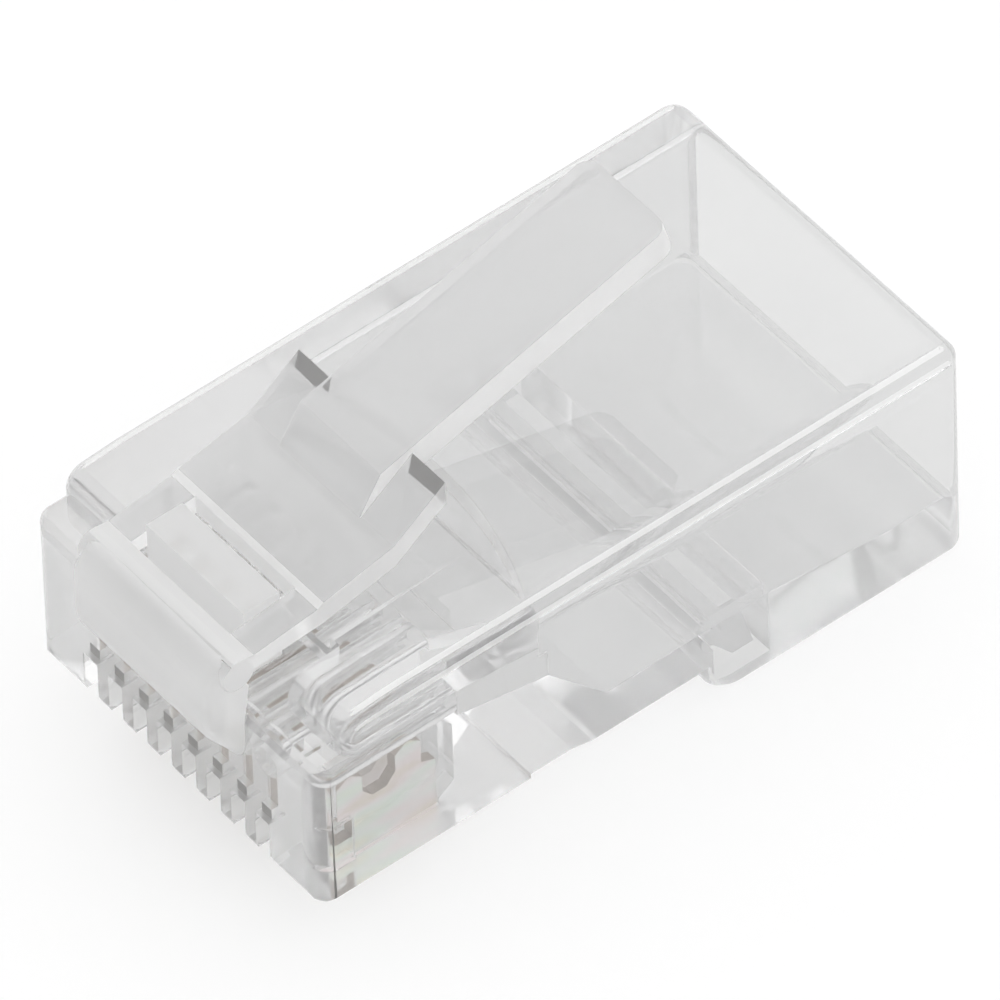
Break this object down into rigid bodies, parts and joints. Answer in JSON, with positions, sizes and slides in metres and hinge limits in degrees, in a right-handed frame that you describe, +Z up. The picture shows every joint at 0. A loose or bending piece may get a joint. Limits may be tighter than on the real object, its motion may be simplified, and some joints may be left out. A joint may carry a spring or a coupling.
{
  "type": "rj45 modular plug",
  "caption": "Clear modular cable plug with forked gold contact blades, a sprung latch tab on top and a folding strain-relief bar in its cable cavity.",
  "frame": {"origin": "middle of the bounding box at its lowest level, under the rear block", "axes": "+X to the plug's right side, +Y from the nose to the cable end, +Z up with the latch on top; X = 0 is the symmetry plane"},
  "size_m": [0.0116, 0.0224, 0.013],
  "materials": {
    "housing": "clear moulded polycarbonate",
    "latch_tab": "clear moulded polycarbonate, one moulding with the housing",
    "strain_relief_bar": "clear moulded polycarbonate, one moulding with the housing",
    "contact": "gold plating over phosphor bronze"
  },
  "bodies": {
    "plug_body": {"housing": "housing"},
    "latch": {"latch_tab": "latch_tab"},
    "strain_relief": {"strain_relief_bar": "strain_relief_bar"},
    "blade_1": {"contact_1": "contact"},
    "blade_2": {"contact_2": "contact"},
    "blade_3": {"contact_3": "contact"},
    "blade_4": {"contact_4": "contact"},
    "blade_5": {"contact_5": "contact"},
    "blade_6": {"contact_6": "contact"},
    "blade_7": {"contact_7": "contact"},
    "blade_8": {"contact_8": "contact"}
  },
  "joints": [
    {"name": "latch_flex", "type": "hinge", "parent": "plug_body", "child": "latch", "pos_m": [0, -0.01033, 0.00794], "axis": [-1, 0, 0], "range_deg": [0, 11.5], "stiffness_Nm_per_rad": 0.09},
    {"name": "strain_relief_fold", "type": "hinge", "parent": "plug_body", "child": "strain_relief", "pos_m": [0, 0.00307, 0.00172], "axis": [1, 0, 0], "range_deg": [0, 25]},
    {"name": "contact_1_crimp", "type": "slide", "parent": "plug_body", "child": "blade_1", "axis": [0, 0, 1], "range_m": [0, 0.00065]},
    {"name": "contact_2_crimp", "type": "slide", "parent": "plug_body", "child": "blade_2", "axis": [0, 0, 1], "range_m": [0, 0.00065]},
    {"name": "contact_3_crimp", "type": "slide", "parent": "plug_body", "child": "blade_3", "axis": [0, 0, 1], "range_m": [0, 0.00065]},
    {"name": "contact_4_crimp", "type": "slide", "parent": "plug_body", "child": "blade_4", "axis": [0, 0, 1], "range_m": [0, 0.00065]},
    {"name": "contact_5_crimp", "type": "slide", "parent": "plug_body", "child": "blade_5", "axis": [0, 0, 1], "range_m": [0, 0.00065]},
    {"name": "contact_6_crimp", "type": "slide", "parent": "plug_body", "child": "blade_6", "axis": [0, 0, 1], "range_m": [0, 0.00065]},
    {"name": "contact_7_crimp", "type": "slide", "parent": "plug_body", "child": "blade_7", "axis": [0, 0, 1], "range_m": [0, 0.00065]},
    {"name": "contact_8_crimp", "type": "slide", "parent": "plug_body", "child": "blade_8", "axis": [0, 0, 1], "range_m": [0, 0.00065]}
  ]
}
